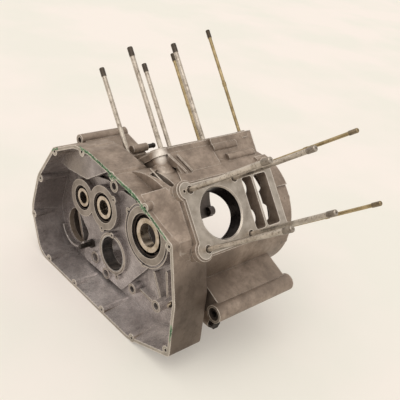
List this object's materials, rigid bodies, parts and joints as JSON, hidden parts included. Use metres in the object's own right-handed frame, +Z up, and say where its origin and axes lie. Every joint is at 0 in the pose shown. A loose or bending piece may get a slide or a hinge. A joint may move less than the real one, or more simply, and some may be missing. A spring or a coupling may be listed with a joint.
{
  "type": "engine crankcase",
  "caption": "Cast engine crankcase for a V-twin, with cylinder studs standing on two tilted decks, shaft bearings and an open clutch side.",
  "frame": {"origin": "crankshaft axis in the outer face of the main bearing", "axes": "+X along the crankshaft from the clutch side to the generator side, +Y to the rear, +Z up"},
  "size_m": [0.3054, 0.639, 0.5089],
  "materials": {
    "cast_aluminium": "as cast, weathered, with machined faces",
    "steel_stud": "bright steel",
    "plated_stud": "yellow zinc plate",
    "bearing_steel": "ground steel, oil stained",
    "polished_bush": "polished",
    "dark_steel": "dark oiled steel",
    "brass_fitting": "dull brass",
    "gasket_paper": "torn gasket paper"
  },
  "bodies": {
    "case": {"crankcase": "cast_aluminium", "front_main_stud_1": "steel_stud", "front_main_stud_2": "steel_stud", "front_main_stud_3": "steel_stud", "front_main_stud_4": "steel_stud", "rear_main_stud_1": "steel_stud", "rear_main_stud_2": "steel_stud", "rear_main_stud_3": "steel_stud", "rear_main_stud_4": "steel_stud", "front_side_stud_1": "plated_stud", "front_side_stud_2": "plated_stud", "rear_side_stud_1": "plated_stud", "rear_side_stud_2": "plated_stud", "main_bearing_outer_ring": "bearing_steel", "input_bearing_outer_ring": "bearing_steel", "output_bearing_outer_ring": "bearing_steel", "idler_bush": "polished_bush", "shift_stop_pin": "dark_steel", "oil_jet": "brass_fitting", "front_mount_bush_left": "dark_steel", "front_mount_bush_right": "dark_steel", "hose_union": "dark_steel", "gallery_plug_1": "dark_steel", "gallery_plug_2": "dark_steel", "drain_plug": "dark_steel", "gasket_remains": "gasket_paper"},
    "main_shaft_ring": {"main_bearing_inner_ring": "bearing_steel"},
    "main_balls": {"main_bearing_ball_set": "bearing_steel"},
    "input_shaft_ring": {"input_bearing_inner_ring": "bearing_steel"},
    "input_balls": {"input_bearing_ball_set": "bearing_steel"},
    "output_shaft_ring": {"output_bearing_inner_ring": "bearing_steel"},
    "output_balls": {"output_bearing_ball_set": "bearing_steel"}
  },
  "joints": [
    {"name": "main_shaft_turn", "type": "hinge", "parent": "case", "child": "main_shaft_ring", "pos_m": [0.0095, 0, 0], "axis": [1, 0, 0], "continuous": true},
    {"name": "main_balls_turn", "type": "hinge", "parent": "case", "child": "main_balls", "pos_m": [0.0095, 0, 0], "axis": [1, 0, 0], "continuous": true},
    {"name": "input_shaft_turn", "type": "hinge", "parent": "case", "child": "input_shaft_ring", "pos_m": [0.01, 0.14, -0.017], "axis": [1, 0, 0], "continuous": true},
    {"name": "input_balls_turn", "type": "hinge", "parent": "case", "child": "input_balls", "pos_m": [0.01, 0.14, -0.017], "axis": [1, 0, 0], "continuous": true},
    {"name": "output_shaft_turn", "type": "hinge", "parent": "case", "child": "output_shaft_ring", "pos_m": [0.0095, 0.211, -0.031], "axis": [1, 0, 0], "continuous": true},
    {"name": "output_balls_turn", "type": "hinge", "parent": "case", "child": "output_balls", "pos_m": [0.0095, 0.211, -0.031], "axis": [1, 0, 0], "continuous": true}
  ],
  "couplings": [
    {"joint": "main_balls_turn", "follows": "main_shaft_turn", "ratio": 0.4296},
    {"joint": "input_balls_turn", "follows": "input_shaft_turn", "ratio": 0.4213},
    {"joint": "output_balls_turn", "follows": "output_shaft_turn", "ratio": 0.4207}
  ]
}
